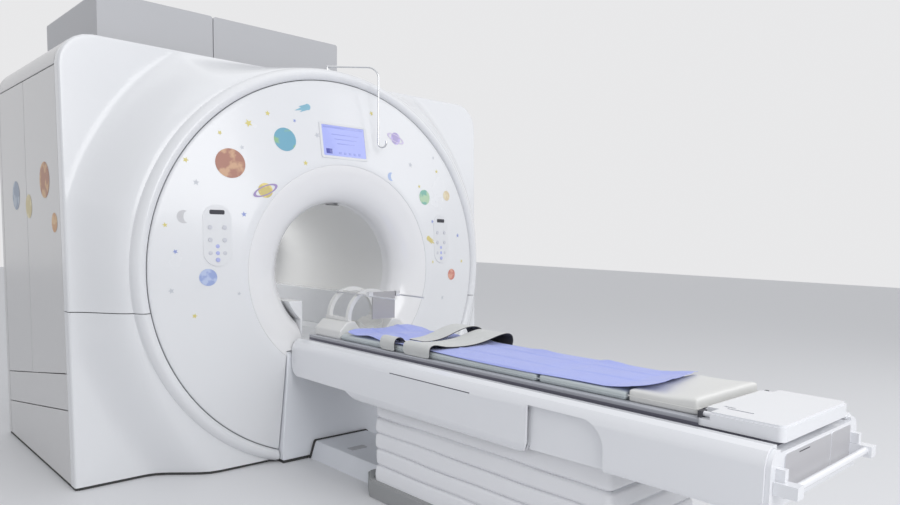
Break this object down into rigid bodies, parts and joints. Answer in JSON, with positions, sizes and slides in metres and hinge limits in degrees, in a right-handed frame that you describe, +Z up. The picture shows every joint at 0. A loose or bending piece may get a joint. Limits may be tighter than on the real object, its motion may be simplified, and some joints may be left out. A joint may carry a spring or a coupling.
{
  "type": "mri scanner",
  "caption": "Closed-bore magnetic resonance scanner with a rounded front disc, a dock column and a lifting couch whose padded tabletop slides into the bore",
  "frame": {"origin": "on the floor, straight under the middle of the patient bore's length", "axes": "+Z up; +Y along the bore into the machine, the couch is on the -Y side; +X to the right as seen from the couch's foot end"},
  "size_m": [2.524, 4.123, 2.3053],
  "materials": {
    "cover_white": "glossy",
    "cover_pale": "satin",
    "couch_white": "glossy",
    "frame_steel": "satin",
    "vessel_steel": "brushed",
    "coil_resin": "matte",
    "coil_copper": "satin",
    "liner_grey": "satin",
    "black_plastic": "matte",
    "black_rubber": "matte",
    "screen_blue": "glossy",
    "button_grey": "satin",
    "button_blue": "satin",
    "stage_metal": "satin",
    "plinth_grey": "satin",
    "bellows_white": "matte",
    "rail_grey": "satin",
    "top_grey": "satin",
    "pad_grey": "satin",
    "pad_white": "satin",
    "sheet_blue": "matte",
    "strap_grey": "matte",
    "coil_white": "satin",
    "rod_steel": "satin",
    "mirror_back": "satin"
  },
  "bodies": {
    "gantry": {"floor_frame": "frame_steel", "magnet_vessel": "vessel_steel", "gradient_coil": "coil_resin", "body_coil": "coil_copper", "bore_liner": "liner_grey", "bore_bed": "cover_white", "service_turret": "vessel_steel", "cold_head": "black_plastic", "support_frame": "frame_steel", "front_disc": "cover_white", "front_funnel": "cover_white", "front_cover_upper": "cover_white", "front_cover_lower": "cover_white", "side_panels": "cover_white", "side_skirts": "cover_white", "roof_cover": "cover_white", "turret_covers": "cover_pale", "rear_cover": "cover_white", "rear_funnel": "cover_white", "floor_gasket": "black_rubber", "fascia_panels": "cover_white", "display_screen": "screen_blue", "dark_windows": "black_plastic", "hook_socket": "rod_steel", "dock_column": "cover_pale", "floor_channel": "plinth_grey", "couch_plinth": "plinth_grey", "lift_motor": "black_plastic", "lift_outer": "stage_metal", "bellows": "bellows_white"},
    "hook": {"hook_arm": "rod_steel"},
    "lift_stage": {"lift_middle": "stage_metal"},
    "couch": {"lift_inner": "stage_metal", "couch_frame": "frame_steel", "couch_side_covers": "couch_white", "couch_end_covers": "couch_white", "guide_rails": "rail_grey", "push_handle": "couch_white", "table_drive": "black_plastic"},
    "table": {"tabletop": "top_grey", "body_pads": "pad_grey", "foot_pad": "pad_white", "draw_sheet": "sheet_blue", "body_straps": "strap_grey", "end_unit": "couch_white", "coil_base": "coil_white", "coil_frame": "coil_white", "mirror_rods": "rod_steel"},
    "mirror": {"head_mirror": "mirror_back"},
    "key_l1": {"button_l1": "button_grey"},
    "key_l2": {"button_l2": "button_grey"},
    "key_l3": {"button_l3": "button_grey"},
    "key_l4": {"button_l4": "button_grey"},
    "key_l5": {"button_l5": "button_blue"},
    "key_r1": {"button_r1": "button_grey"},
    "key_r2": {"button_r2": "button_grey"},
    "key_r3": {"button_r3": "button_grey"},
    "key_r4": {"button_r4": "button_grey"},
    "key_r5": {"button_r5": "button_blue"}
  },
  "joints": [
    {"name": "couch_lift", "type": "slide", "parent": "gantry", "child": "couch", "axis": [0, 0, 1], "range_m": [-0.28, 0], "deforming": ["bellows"]},
    {"name": "stage_slide", "type": "slide", "parent": "gantry", "child": "lift_stage", "axis": [0, 0, 1], "range_m": [-0.14, 0]},
    {"name": "table_travel", "type": "slide", "parent": "couch", "child": "table", "axis": [0, 1, 0], "range_m": [0, 1.5]},
    {"name": "mirror_tilt", "type": "hinge", "parent": "table", "child": "mirror", "pos_m": [0, -1.164, 0.90337], "axis": [-1, 0, 0], "range_deg": [-10, 45]},
    {"name": "hook_swivel", "type": "hinge", "parent": "gantry", "child": "hook", "pos_m": [-0.006, -0.645, 2.065], "axis": [0, 0, 1], "range_deg": [-60, 8]},
    {"name": "press_l1", "type": "slide", "parent": "gantry", "child": "key_l1", "axis": [0.1777, 0.983, -0.0458], "range_m": [0, 0.002], "stiffness_N_per_m": 300},
    {"name": "press_l2", "type": "slide", "parent": "gantry", "child": "key_l2", "axis": [0.1777, 0.983, -0.0458], "range_m": [0, 0.002], "stiffness_N_per_m": 300},
    {"name": "press_l3", "type": "slide", "parent": "gantry", "child": "key_l3", "axis": [0.1777, 0.983, -0.0458], "range_m": [0, 0.002], "stiffness_N_per_m": 300},
    {"name": "press_l4", "type": "slide", "parent": "gantry", "child": "key_l4", "axis": [0.1777, 0.983, -0.0458], "range_m": [0, 0.002], "stiffness_N_per_m": 300},
    {"name": "press_l5", "type": "slide", "parent": "gantry", "child": "key_l5", "axis": [0.1777, 0.983, -0.0458], "range_m": [0, 0.002], "stiffness_N_per_m": 300},
    {"name": "press_r1", "type": "slide", "parent": "gantry", "child": "key_r1", "axis": [-0.1777, 0.983, -0.0458], "range_m": [0, 0.002], "stiffness_N_per_m": 300},
    {"name": "press_r2", "type": "slide", "parent": "gantry", "child": "key_r2", "axis": [-0.1777, 0.983, -0.0458], "range_m": [0, 0.002], "stiffness_N_per_m": 300},
    {"name": "press_r3", "type": "slide", "parent": "gantry", "child": "key_r3", "axis": [-0.1777, 0.983, -0.0458], "range_m": [0, 0.002], "stiffness_N_per_m": 300},
    {"name": "press_r4", "type": "slide", "parent": "gantry", "child": "key_r4", "axis": [-0.1777, 0.983, -0.0458], "range_m": [0, 0.002], "stiffness_N_per_m": 300},
    {"name": "press_r5", "type": "slide", "parent": "gantry", "child": "key_r5", "axis": [-0.1777, 0.983, -0.0458], "range_m": [0, 0.002], "stiffness_N_per_m": 300}
  ],
  "couplings": [
    {"joint": "stage_slide", "follows": "couch_lift", "ratio": 0.5}
  ]
}
